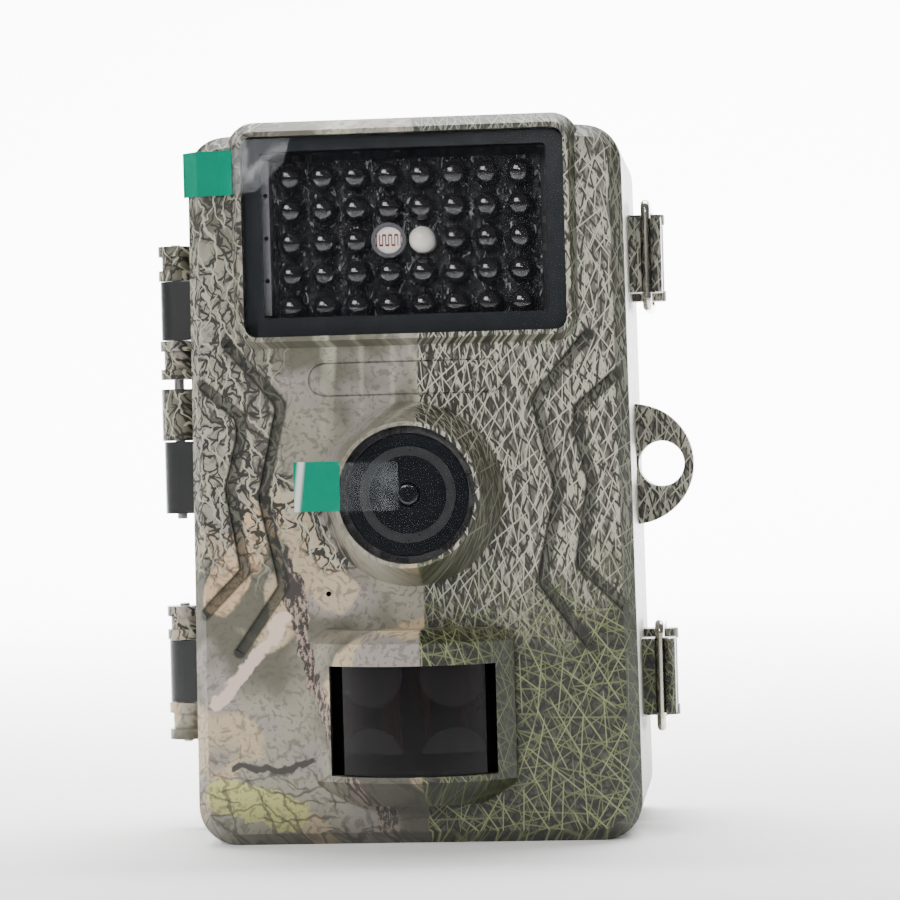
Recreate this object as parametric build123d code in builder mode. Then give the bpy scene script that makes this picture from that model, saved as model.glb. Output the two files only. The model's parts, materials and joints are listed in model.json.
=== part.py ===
from build123d import *
import os

# Trail camera.  Frame: origin at the mouth of the tripod socket in the middle of the base,
# +X to the right as seen from the front, +Y towards the back, +Z up.  Millimetres.

os.makedirs("parts", exist_ok=True)

# ---- driving dimensions -------------------------------------------------------------------------
HEIGHT = 135.0            # base to the middle of the arched top
BASE_HALF_W = 41.8        # half width at the base
TOP_HALF_W = 40.7         # half width where the top corners start
SHOULDER_Z = 132.4        # height of the sharp top corners before they are rounded
BASE_CORNER_R = 7.5
TOP_CORNER_R = 7.0
WALL = 2.0                # shell thickness

PARTING_Y = -12.0         # where the two halves of the case meet
FACE_Y = -46.0            # flat front face
BACK_Y = 14.0             # flat back face
RIM_GAP = 0.1             # each rim stands this far from the parting plane
FRONT_BEVEL = 2.3
BACK_BEVEL = 3.5

WINDOW_W, WINDOW_Z0, WINDOW_Z1 = 60.4, 95.2, 132.7
WINDOW_R = 2.3
WINDOW_LIP = 0.9
WINDOW_FLANK = 2.0
LIP_RISE = 1.8            # how far the window lip stands in front of the face
CLEAR_W, CLEAR_Z0, CLEAR_Z1 = 53.6, 98.8, 130.0

LED_COLS, LED_ROWS = 8, 5
LED_PITCH_X, LED_PITCH_Z = 6.2, 6.1
LED_CENTRE_Z = 112.9
LED_R, LED_FLANGE_R = 2.5, 2.8
LED_LENGTH = 8.6
PHOTOCELL_COL, STATUS_COL, SPECIAL_ROW = 3, 4, 2
LED_BOARD_FRONT = -36.0
BOARD_T = 1.6

LENS_X, LENS_Z = 0.3, 65.3
CONE_BASE_R, CONE_RIM_R, CONE_FRONT_Y = 17.2, 13.5, -55.5
GLASS_R = 12.7

HOOD_X0, HOOD_X1, HOOD_Z0, HOOD_Z1 = -18.6, 18.9, 7.5, 40.3
HOOD_EDGE_Y, HOOD_FRONT_Y = -47.6, -56.0
PIR_HALF_W, PIR_Z0, PIR_Z1 = 15.5, 13.4, 33.8
PIR_EDGE_Y, PIR_FRONT_Y, PIR_T = -48.2, -55.0, 1.2

HINGE_X = -49.2
BARREL_R, PIN_R, PIN_FIT = 3.5, 1.0, 0.05
UPPER_PIN = (61.0, 115.3)
LOWER_PIN = (16.9, 44.4)
CASE_KNUCKLES = ((108.1, 114.9), (88.6, 96.2), (76.5, 86.7), (37.2, 43.8), (17.5, 24.7))
PANEL_KNUCKLES = ((96.4, 107.9), (62.1, 76.3), (24.9, 37.0))

LATCHES = (("upper", 110.0), ("lower", 28.6))
HOOK_HALF_H = 7.25
HOOK_FRONT, HOOK_REAR = 9.0, 2.0     # in front of the parting plane
HOOK_STEM, HOOK_NOTCH, HOOK_OUT = 2.3, 4.9, 6.2
WIRE_R = 0.9
WIRE_OUT, WIRE_AHEAD = 3.3, 7.4
PIVOT_OUT, PIVOT_BACK = 3.9, 6.0
BAIL_OUT, BAIL_BACK = 3.3, 12.0
BAIL_LEG_Z = 9.9
EAR_R, EAR_Z0, EAR_Z1 = 2.7, 6.5, 8.5
LEVER_HALF_H, LEVER_R, LEVER_END = 6.3, 2.4, 24.0

LUG_X, LUG_Z, LUG_R, EYE_X, EYE_R, LUG_T = 40.5, 69.6, 11.7, 46.0, 4.4, 4.0

PANEL_FACE_Y, PANEL_T = -14.0, 2.5
SCREW_SPOTS = ((-33.6, 10.0), (33.6, 10.0), (-33.6, 50.0), (33.6, 50.0), (-32.4, 123.6), (32.4, 123.6))
BOSS_R, SCREW_R, SCREW_HEAD_R = 3.0, 1.2, 2.3

LCD_Z, LCD_W, LCD_H = 95.0, 42.0, 32.0
BUTTON_R, BUTTON_FLANGE_R, BUTTON_FIT = 3.4, 4.3, 0.15
BUTTONS = (("up", 10.0, 62.0), ("down", 10.0, 42.0), ("left", 0.0, 52.0),
           ("right", 20.0, 52.0), ("ok", 10.0, 52.0), ("menu", -14.0, 52.0))
SWITCH_X, SWITCH_Z, SWITCH_TRAVEL = -12.0, 34.0, 5.0
MAIN_BOARD_REAR = -22.9

CELL_R, CELL_L, NUB_R, NUB_L = 7.1, 49.5, 2.7, 1.0
CELL_COLUMNS = (-22.8, -7.6, 7.6, 22.8)
CELL_Y = 0.6
BAYS = ((12.5, 67.0), (70.0, 124.5))


def facing(y):
    """A plane at station y that faces the front: its own x is +X and its own y is +Z."""
    return Plane(origin=(0, y, 0), x_dir=(1, 0, 0), z_dir=(0, -1, 0))


def level(z):
    """A plane at height z that faces up."""
    return Plane.XY.offset(z)


def half_width(z):
    """Half the width of the case at height z."""
    return BASE_HALF_W + (TOP_HALF_W - BASE_HALF_W) * z / SHOULDER_Z


def case_outline(inset=0.0):
    """Front silhouette of the case: sides that lean in a little under an arched top."""
    with BuildSketch() as outline:
        with BuildLine():
            Line((-TOP_HALF_W, SHOULDER_Z), (-BASE_HALF_W, 0))
            Line((-BASE_HALF_W, 0), (BASE_HALF_W, 0))
            Line((BASE_HALF_W, 0), (TOP_HALF_W, SHOULDER_Z))
            ThreePointArc((TOP_HALF_W, SHOULDER_Z), (0, HEIGHT), (-TOP_HALF_W, SHOULDER_Z))
        make_face()
        fillet(outline.vertices().group_by(Axis.Y)[0], BASE_CORNER_R)
        fillet(outline.vertices().group_by(Axis.Y)[-1], TOP_CORNER_R)
        if inset:
            offset(amount=-inset)
    return outline.sketch


def window_outline(grow=0.0):
    """Rounded rectangle of the infrared window, larger all round by grow."""
    with BuildSketch() as outline:
        with Locations((0, (WINDOW_Z0 + WINDOW_Z1) / 2)):
            RectangleRounded(WINDOW_W + 2 * grow, WINDOW_Z1 - WINDOW_Z0 + 2 * grow, WINDOW_R + grow)
    return outline.sketch


def clear_outline():
    """The clear middle of the infrared window."""
    with BuildSketch() as outline:
        with Locations((0, (CLEAR_Z0 + CLEAR_Z1) / 2)):
            RectangleRounded(CLEAR_W, CLEAR_Z1 - CLEAR_Z0, 0.8)
    return outline.sketch


def bow(half_w, edge_y, front_y, thickness=0.0):
    """Plan view of a part bowed forwards about a vertical axis: solid to the face, or a curved wall."""
    with BuildSketch() as outline:
        with BuildLine():
            ThreePointArc((-half_w, edge_y), (0, front_y), (half_w, edge_y))
            if thickness:
                Line((half_w, edge_y), (half_w, edge_y + thickness))
                ThreePointArc((half_w, edge_y + thickness), (0, front_y + thickness),
                              (-half_w, edge_y + thickness))
                Line((-half_w, edge_y + thickness), (-half_w, edge_y))
            else:
                Polyline((half_w, edge_y), (half_w, FACE_Y + 1), (-half_w, FACE_Y + 1), (-half_w, edge_y))
        make_face()
    return outline.sketch


def groove_line(side, points, radius):
    """A moulded groove that follows rounded corners, on the left (-1) or the right (+1) of the face."""
    with BuildSketch() as band:
        with BuildLine():
            FilletPolyline(*[(side * x, z) for x, z in points], radius=radius)
        trace(line_width=1.8)
    return band.sketch


def led_spots():
    """Column, row, x and z of every place in the infrared array."""
    for row in range(LED_ROWS):
        for col in range(LED_COLS):
            x = (col - (LED_COLS - 1) / 2) * LED_PITCH_X
            z = LED_CENTRE_Z + ((LED_ROWS - 1) / 2 - row) * LED_PITCH_Z
            yield col, row, x, z


def save(builder, name):
    """Label a finished piece and write its STEP file."""
    builder.part.label = name
    export_step(builder.part, f"parts/{name}.step")


OUTER_GROOVE = ((39.0, 86.6), (31.8, 80.6), (31.6, 76.6), (34.0, 67.0), (31.4, 51.6), (39.4, 43.6))
INNER_GROOVE = ((33.9, 94.2), (23.9, 82.6), (27.8, 65.4), (24.2, 48.6), (32.9, 36.4))
INFRARED = [(x, z) for col, row, x, z in led_spots()
            if row != SPECIAL_ROW or col not in (PHOTOCELL_COL, STATUS_COL)]
PHOTOCELL = [(x, z) for col, row, x, z in led_spots() if (col, row) == (PHOTOCELL_COL, SPECIAL_ROW)][0]
STATUS = [(x, z) for col, row, x, z in led_spots() if (col, row) == (STATUS_COL, SPECIAL_ROW)][0]

# ---- front shell ---------------------------------------------------------------------------------
with BuildPart() as front_shell:
    with BuildSketch(facing(PARTING_Y - RIM_GAP)):
        add(case_outline())
    extrude(amount=PARTING_Y - RIM_GAP - FACE_Y)
    chamfer(front_shell.edges().group_by(Axis.Y)[0], FRONT_BEVEL)
    # raised surround of the infrared window: a sloped flank up to a narrow lip
    with BuildSketch(facing(FACE_Y + 1.2)):
        add(window_outline(WINDOW_LIP + WINDOW_FLANK))
    with BuildSketch(facing(FACE_Y - LIP_RISE)):
        add(window_outline(WINDOW_LIP))
    loft()
    # lens cone
    with BuildSketch(facing(FACE_Y + 0.5)):
        with Locations((LENS_X, LENS_Z)):
            Circle(CONE_BASE_R + 0.2)
    with BuildSketch(facing(CONE_FRONT_Y)):
        with Locations((LENS_X, LENS_Z)):
            Circle(CONE_RIM_R)
    loft()
    # sensor hood, bowed forwards, with a bevelled top and a sloped underside
    with BuildPart(mode=Mode.PRIVATE) as hood:
        with BuildSketch(level(HOOD_Z0)):
            add(bow((HOOD_X1 - HOOD_X0) / 2, HOOD_EDGE_Y, HOOD_FRONT_Y))
        extrude(amount=HOOD_Z1 - HOOD_Z0)
        top = hood.edges().group_by(Axis.Z)[-1].filter_by(lambda e: e.center().Y < FACE_Y - 0.5)
        chamfer(top, 2.4)
        low = hood.edges().group_by(Axis.Z)[0].filter_by(lambda e: e.center().Y < FACE_Y - 3)
        chamfer(low, 4.8, 5.6)
    add(hood.part)
    # hook blocks for the latch wires
    for _, latch_z in LATCHES:
        wall_x = half_width(latch_z)
        with BuildSketch(level(latch_z - HOOK_HALF_H)):
            with BuildLine():
                Polyline((wall_x - 1, PARTING_Y - HOOK_REAR), (wall_x + HOOK_OUT, PARTING_Y - HOOK_REAR),
                         (wall_x + HOOK_OUT, PARTING_Y - HOOK_FRONT + 0.6),
                         (wall_x + HOOK_OUT - 0.6, PARTING_Y - HOOK_FRONT),
                         (wall_x + HOOK_NOTCH, PARTING_Y - HOOK_FRONT),
                         (wall_x + HOOK_NOTCH, PARTING_Y - WIRE_AHEAD + WIRE_R + 0.2),
                         (wall_x + HOOK_STEM, PARTING_Y - WIRE_AHEAD + WIRE_R + 0.2),
                         (wall_x + HOOK_STEM, PARTING_Y - HOOK_FRONT),
                         (wall_x - 1, PARTING_Y - HOOK_FRONT), close=True)
            make_face()
        extrude(amount=2 * HOOK_HALF_H)
    # hollow inside
    with BuildSketch(facing(PARTING_Y)):
        add(case_outline(WALL))
    extrude(amount=PARTING_Y - FACE_Y - WALL, mode=Mode.SUBTRACT)
    # screw bosses
    with BuildSketch(facing(PANEL_FACE_Y - PANEL_T - 0.1)):
        with Locations(*SCREW_SPOTS):
            Circle(BOSS_R)
    extrude(until=Until.NEXT)
    with BuildSketch(facing(PANEL_FACE_Y)):
        with Locations(*SCREW_SPOTS):
            Circle(SCREW_R + 0.05)
    extrude(amount=12.5, mode=Mode.SUBTRACT)
    # frame behind the infrared window, then its recess and its opening
    with BuildSketch(facing(FACE_Y + WALL + 2)):
        add(window_outline(-0.2))
    extrude(amount=2.5)
    with BuildSketch(facing(FACE_Y - LIP_RISE)):
        add(window_outline())
    extrude(amount=-3.2, mode=Mode.SUBTRACT)
    with BuildSketch(facing(FACE_Y - LIP_RISE)):
        add(window_outline(-1.6))
    extrude(amount=-8, mode=Mode.SUBTRACT)
    # lens bore and glass seat
    with BuildSketch(facing(CONE_FRONT_Y)):
        with Locations((LENS_X, LENS_Z)):
            Circle(GLASS_R + 0.05)
    extrude(amount=-2.9, mode=Mode.SUBTRACT)
    with BuildSketch(facing(CONE_FRONT_Y)):
        with Locations((LENS_X, LENS_Z)):
            Circle(11.4)
    extrude(amount=-12, mode=Mode.SUBTRACT)
    # hollow hood and its opening
    with BuildPart(mode=Mode.PRIVATE) as hood_room:
        with BuildSketch(level(PIR_Z0 - 1.6)):
            add(bow(PIR_HALF_W + 1, HOOD_EDGE_Y + 1, HOOD_FRONT_Y + 2.6))
        extrude(amount=PIR_Z1 - PIR_Z0 + 3.2)
    add(hood_room.part, mode=Mode.SUBTRACT)
    with BuildSketch(facing(HOOD_FRONT_Y - 1)):
        with Locations((0, (PIR_Z0 + PIR_Z1) / 2)):
            Rectangle(2 * PIR_HALF_W, PIR_Z1 - PIR_Z0)
    extrude(amount=-14, mode=Mode.SUBTRACT)
    # moulded grooves, blank label outline and microphone hole
    with BuildSketch(facing(FACE_Y)):
        for side in (-1, 1):
            add(groove_line(side, OUTER_GROOVE, 3.0))
            add(groove_line(side, INNER_GROOVE, 4.0))
    extrude(amount=-0.8, mode=Mode.SUBTRACT)
    with BuildSketch(facing(FACE_Y)):
        with Locations((0, 87.0)):
            SlotOverall(37.3, 6.4)
            SlotOverall(36.7, 5.8, mode=Mode.SUBTRACT)
    extrude(amount=-0.3, mode=Mode.SUBTRACT)
    with BuildSketch(facing(FACE_Y - 1)):
        with Locations((-15.8, 47.0)):
            Circle(0.5)
    extrude(amount=-4, mode=Mode.SUBTRACT)
    # notches in the rim for the arms of the inner panel
    with BuildSketch(facing(PARTING_Y + 1)):
        for z0, z1 in PANEL_KNUCKLES:
            with Locations((-BASE_HALF_W, (z0 + z1) / 2)):
                Rectangle(9, z1 - z0 + 0.4)
    extrude(amount=4.8, mode=Mode.SUBTRACT)
save(front_shell, "front_shell")

# ---- infrared window and its lights --------------------------------------------------------------
PANE_FRONT = FACE_Y - LIP_RISE + 0.7
with BuildPart() as ir_window_pane:
    with BuildSketch(facing(PANE_FRONT)):
        add(window_outline(-0.05))
    extrude(amount=-1.5)
    chamfer(ir_window_pane.edges().group_by(Axis.Y)[0], 0.3)
save(ir_window_pane, "ir_window_pane")

with BuildPart() as ir_window_border:
    with BuildSketch(facing(PANE_FRONT + 1.5)):
        add(window_outline(-0.05))
        add(clear_outline(), mode=Mode.SUBTRACT)
    extrude(amount=-0.9)
save(ir_window_border, "ir_window_border")

with BuildPart() as led_board:
    with BuildSketch(facing(LED_BOARD_FRONT)):
        with Locations((0, LED_CENTRE_Z - 0.3)):
            Rectangle(58, 35.5)
        with Locations((-28, 99), (28, 99)):
            Circle(1.1, mode=Mode.SUBTRACT)
    extrude(amount=-BOARD_T)
save(led_board, "led_board")

with BuildPart() as led_holder:
    with BuildSketch(facing(LED_BOARD_FRONT - 1.5)):
        with Locations((0, LED_CENTRE_Z)):
            Rectangle(50.8, 31)
        with Locations(*[(x, z) for _, _, x, z in led_spots()]):
            Circle(LED_R + 0.12, mode=Mode.SUBTRACT)
    extrude(amount=2.2)
save(led_holder, "led_holder")

with BuildPart() as led_side_strip:
    with BuildSketch(facing(LED_BOARD_FRONT - 2)):
        with Locations((-26.2, LED_CENTRE_Z + 1)):
            Rectangle(1.4, 29)
        with Locations(*[(-26.2, LED_CENTRE_Z + 1 + dz) for dz in (-8, 0, 8)]):
            Circle(0.45, mode=Mode.SUBTRACT)
    extrude(amount=5.5)
save(led_side_strip, "led_side_strip")


def lamps(spots):
    """Round 5 mm lamps with a flange on the board and a domed tip."""
    with BuildPart() as group:
        with BuildSketch(facing(LED_BOARD_FRONT)):
            with Locations(*spots):
                Circle(LED_FLANGE_R)
        extrude(amount=1.0)
        with BuildSketch(facing(LED_BOARD_FRONT - 1.0)):
            with Locations(*spots):
                Circle(LED_R)
        extrude(amount=LED_LENGTH - 1.0 - LED_R)
        with Locations(*[(x, LED_BOARD_FRONT - LED_LENGTH + LED_R, z) for x, z in spots]):
            Sphere(LED_R)
    return group.part


with BuildPart() as ir_leds:
    add(lamps(INFRARED))
save(ir_leds, "ir_leds")

with BuildPart() as status_led:
    add(lamps([STATUS]))
save(status_led, "status_led")

with BuildPart() as photocell:
    with BuildSketch(facing(LED_BOARD_FRONT)):
        with Locations(PHOTOCELL):
            Circle(LED_R)
    extrude(amount=7.2)
save(photocell, "photocell")

with BuildPart() as photocell_collar:
    with BuildSketch(facing(LED_BOARD_FRONT - 3.8)):
        with Locations(PHOTOCELL):
            Circle(3.3)
            Circle(LED_R + 0.08, mode=Mode.SUBTRACT)
    extrude(amount=3.8)
    with BuildSketch(facing(LED_BOARD_FRONT - 3.7)):
        with Locations(*INFRARED, STATUS):
            Circle(LED_R + 0.05)
    extrude(amount=4.5, mode=Mode.SUBTRACT)
save(photocell_collar, "photocell_collar")

# ---- lens ----------------------------------------------------------------------------------------


def lens_disc(y, depth, outer, inner=0.0):
    """A disc or a ring on the lens axis, from station y backwards."""
    with BuildPart() as disc:
        with BuildSketch(facing(y)):
            with Locations((LENS_X, LENS_Z)):
                Circle(outer)
                if inner:
                    Circle(inner, mode=Mode.SUBTRACT)
        extrude(amount=-depth)
    return disc.part


with BuildPart() as lens_glass:
    add(lens_disc(CONE_FRONT_Y + 0.5, 1.5, GLASS_R))
    chamfer(lens_glass.edges().group_by(Axis.Y)[0], 0.25)
save(lens_glass, "lens_glass")

with BuildPart() as lens_seal:
    add(lens_disc(CONE_FRONT_Y + 2.0, 0.9, GLASS_R, 11.4))
save(lens_seal, "lens_seal")

with BuildPart() as lens_bezel:
    add(lens_disc(CONE_FRONT_Y + 2.3, 1.2, 11.2, 2.4))
save(lens_bezel, "lens_bezel")

with BuildPart() as lens_ring:
    add(lens_disc(CONE_FRONT_Y + 2.1, 0.2, 8.9, 7.2))
save(lens_ring, "lens_ring")

with BuildPart() as lens_barrel:
    add(lens_disc(CONE_FRONT_Y + 3.5, 14.0, 6.0, 4.6))
    add(lens_disc(CONE_FRONT_Y + 3.5, 1.0, 6.0, 2.4))
save(lens_barrel, "lens_barrel")

with BuildPart() as lens_element:
    add(lens_disc(CONE_FRONT_Y + 2.7, 2.2, 2.3))
    add(lens_disc(CONE_FRONT_Y + 4.6, 1.4, 4.4))
    fillet(lens_element.edges().group_by(Axis.Y)[0], 0.9)
save(lens_element, "lens_element")

with BuildPart() as lens_mount:
    with BuildSketch(facing(-39.0)):
        with Locations((LENS_X, LENS_Z)):
            RectangleRounded(18, 18, 1.5)
            Circle(6.05, mode=Mode.SUBTRACT)
    extrude(amount=-7.4)
save(lens_mount, "lens_mount")

with BuildPart() as sensor_board:
    with BuildSketch(facing(-31.5)):
        with Locations((LENS_X, LENS_Z)):
            Rectangle(30, 30)
    extrude(amount=-1.2)
save(sensor_board, "sensor_board")

# ---- motion sensor -------------------------------------------------------------------------------
with BuildPart() as pir_window:
    with BuildSketch(level(PIR_Z0 + 0.05)):
        add(bow(PIR_HALF_W - 0.05, PIR_EDGE_Y, PIR_FRONT_Y, PIR_T))
    extrude(amount=PIR_Z1 - PIR_Z0 - 0.1)
save(pir_window, "pir_window")

with BuildPart() as pir_frame:
    with BuildSketch(facing(-46.6)):
        with Locations((0, (PIR_Z0 + PIR_Z1) / 2)):
            Rectangle(2 * PIR_HALF_W - 0.2, PIR_Z1 - PIR_Z0 - 0.2)
            Rectangle(2 * PIR_HALF_W - 4.4, PIR_Z1 - PIR_Z0 - 3.6, mode=Mode.SUBTRACT)
    extrude(amount=-2.2)
save(pir_frame, "pir_frame")

with BuildPart() as pir_sensor:
    with BuildSketch(facing(-39.5)):
        with Locations((0, 24.0)):
            Circle(4.6)
    extrude(amount=4.2)
    with BuildSketch(facing(-43.7)):
        with Locations((0, 24.0)):
            Rectangle(4.5, 3.5)
    extrude(amount=0.3)
save(pir_sensor, "pir_sensor")

with BuildPart() as pir_board:
    with BuildSketch(facing(-39.5)):
        with Locations((0, 24.0)):
            Rectangle(26, 18)
    extrude(amount=-1.2)
save(pir_board, "pir_board")

# ---- electronics behind the panel ----------------------------------------------------------------
with BuildPart() as main_board:
    with BuildSketch(facing(MAIN_BOARD_REAR - BOARD_T)):
        with Locations((0, 66.0)):
            Rectangle(59.4, 112)
    extrude(amount=-BOARD_T)
save(main_board, "main_board")

with BuildPart() as chips:
    with BuildSketch(facing(MAIN_BOARD_REAR - BOARD_T)):
        with Locations((-14, 40), (14, 88), (-16, 96)):
            Rectangle(12, 12)
        with Locations((18, 30)):
            Rectangle(8, 10)
    extrude(amount=1.4)
    with BuildSketch(facing(-31.5)):
        with Locations((LENS_X, LENS_Z)):
            Rectangle(7, 6)
    extrude(amount=1.2)
save(chips, "chips")

with BuildPart() as lcd_module:
    with BuildSketch(facing(PANEL_FACE_Y - PANEL_T - 0.1)):
        with Locations((0, LCD_Z)):
            Rectangle(LCD_W + 8, LCD_H + 8)
    extrude(amount=2.6)
save(lcd_module, "lcd_module")

with BuildPart() as lcd_window:
    with BuildSketch(facing(PANEL_FACE_Y - 0.2)):
        with Locations((0, LCD_Z)):
            RectangleRounded(LCD_W + 3.9, LCD_H + 3.9, 1.5)
    extrude(amount=1.1)
save(lcd_window, "lcd_window")

# ---- inner panel with the swinging half of the hinge ----------------------------------------------
with BuildPart() as inner_panel:
    with BuildSketch(facing(PANEL_FACE_Y)):
        add(case_outline(WALL + 0.15))
    extrude(amount=PANEL_T)
    for z0, z1 in PANEL_KNUCKLES:
        with BuildSketch(level(z0)):
            with Locations((HINGE_X, PARTING_Y)):
                Circle(BARREL_R - 0.3)
            with Locations(((HINGE_X - 38.6) / 2, PARTING_Y - 1.8)):
                Rectangle(-HINGE_X - 38.6, 3.2)
            with Locations(((HINGE_X + 2.6 - 38.6) / 2, PARTING_Y + 2.3)):
                Rectangle(-HINGE_X - 38.6, 4.6, mode=Mode.SUBTRACT)
            with Locations((HINGE_X, PARTING_Y)):
                Circle(BARREL_R - 0.3)
                Circle(PIN_R + PIN_FIT, mode=Mode.SUBTRACT)
        extrude(amount=z1 - z0)
    with BuildSketch(facing(PANEL_FACE_Y)):
        with Locations((0, LCD_Z)):
            RectangleRounded(LCD_W + 4, LCD_H + 4, 1.6)
    extrude(amount=1.4, mode=Mode.SUBTRACT)
    with BuildSketch(facing(PANEL_FACE_Y + 1)):
        with Locations((0, LCD_Z)):
            Rectangle(LCD_W, LCD_H)
        for _, x, z in BUTTONS:
            with Locations((x, z)):
                Circle(BUTTON_R + BUTTON_FIT)
        with Locations((SWITCH_X + SWITCH_TRAVEL / 2, SWITCH_Z)):
            Rectangle(SWITCH_TRAVEL + 4.4, 3.6)
        with Locations((14.0, 27.0)):
            Rectangle(13.4, 2.6)
        with Locations((14.0, 19.0)):
            Rectangle(8.4, 3.9)
        with Locations(*SCREW_SPOTS):
            Circle(SCREW_R + 0.1)
        with Locations((-22, 20)):
            with PolarLocations(4.0, 6):
                Circle(0.9)
            Circle(0.9)
    extrude(amount=6, mode=Mode.SUBTRACT)
save(inner_panel, "inner_panel")

with BuildPart() as panel_screws:
    with BuildSketch(facing(PANEL_FACE_Y + 1.4)):
        with Locations(*SCREW_SPOTS):
            Circle(SCREW_HEAD_R)
            Rectangle(3.0, 0.6, mode=Mode.SUBTRACT)
            Rectangle(0.6, 3.0, mode=Mode.SUBTRACT)
    extrude(amount=0.8)
    with BuildSketch(facing(PANEL_FACE_Y + 0.6)):
        with Locations(*SCREW_SPOTS):
            Circle(SCREW_HEAD_R)
    extrude(amount=0.6)
    with BuildSketch(facing(PANEL_FACE_Y)):
        with Locations(*SCREW_SPOTS):
            Circle(SCREW_R)
    extrude(amount=12)
save(panel_screws, "panel_screws")

for label, x, z in BUTTONS:
    with BuildPart() as button:
        with BuildSketch(facing(PANEL_FACE_Y + 1.1)):
            with Locations((x, z)):
                Circle(BUTTON_R)
        extrude(amount=4.4)
        fillet(button.edges().group_by(Axis.Y)[-1], 0.5)
        with BuildSketch(facing(PANEL_FACE_Y - PANEL_T - 0.3)):
            with Locations((x, z)):
                Circle(BUTTON_FLANGE_R)
        extrude(amount=1.5)
    save(button, f"{label}_button")

with BuildPart() as board_switches:
    with BuildSketch(facing(MAIN_BOARD_REAR)):
        for _, x, z in BUTTONS:
            with Locations((x, z)):
                Rectangle(6, 6)
    extrude(amount=-2.6)
    with BuildSketch(facing(MAIN_BOARD_REAR + 2.6)):
        for _, x, z in BUTTONS:
            with Locations((x, z)):
                Circle(1.7)
    extrude(amount=-0.9)
    with BuildSketch(facing(MAIN_BOARD_REAR)):
        with Locations((SWITCH_X + SWITCH_TRAVEL / 2, SWITCH_Z)):
            Rectangle(16, 7)
    extrude(amount=-4.4)
save(board_switches, "board_switches")

with BuildPart() as power_switch_knob:
    with BuildSketch(facing(PANEL_FACE_Y + 1.3)):
        with Locations((SWITCH_X, SWITCH_Z)):
            Rectangle(3.6, 3.2)
    extrude(amount=4.2)
    with BuildSketch(facing(PANEL_FACE_Y - PANEL_T - 0.3)):
        with Locations((SWITCH_X, SWITCH_Z)):
            Rectangle(7.5, 5.2)
    extrude(amount=1.2)
save(power_switch_knob, "power_switch_knob")

with BuildPart() as card_slot:
    with BuildSketch(facing(MAIN_BOARD_REAR)):
        with Locations((14.0, 27.0)):
            Rectangle(15, 3.4)
            Rectangle(11.2, 0.9, mode=Mode.SUBTRACT)
    extrude(amount=-6.0)
    with BuildSketch(facing(MAIN_BOARD_REAR)):
        with Locations((14.0, 27.0)):
            Rectangle(15, 3.4)
    extrude(amount=-1.0)
save(card_slot, "card_slot")

with BuildPart() as usb_port:
    with BuildSketch(facing(MAIN_BOARD_REAR)):
        with Locations((14.0, 19.0)):
            Rectangle(7.7, 3.2)
            Rectangle(6.9, 2.4, mode=Mode.SUBTRACT)
            Rectangle(5.0, 0.8)
    extrude(amount=-7.2)
    with BuildSketch(facing(MAIN_BOARD_REAR)):
        with Locations((14.0, 19.0)):
            Rectangle(7.7, 3.2)
    extrude(amount=-1.0)
save(usb_port, "usb_port")

with BuildPart() as speaker:
    with BuildSketch(facing(PANEL_FACE_Y - PANEL_T - 0.1)):
        with Locations((-22, 20)):
            Circle(8.0)
    extrude(amount=3.8)
save(speaker, "speaker")

# ---- hinge pins -----------------------------------------------------------------------------------
with BuildPart() as hinge_pins:
    for z0, z1 in (UPPER_PIN, LOWER_PIN):
        with BuildSketch(level(z0)):
            with Locations((HINGE_X, PARTING_Y)):
                Circle(PIN_R)
        extrude(amount=z1 - z0)
    chamfer(hinge_pins.edges().filter_by(GeomType.CIRCLE), 0.2)
save(hinge_pins, "hinge_pins")

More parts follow.
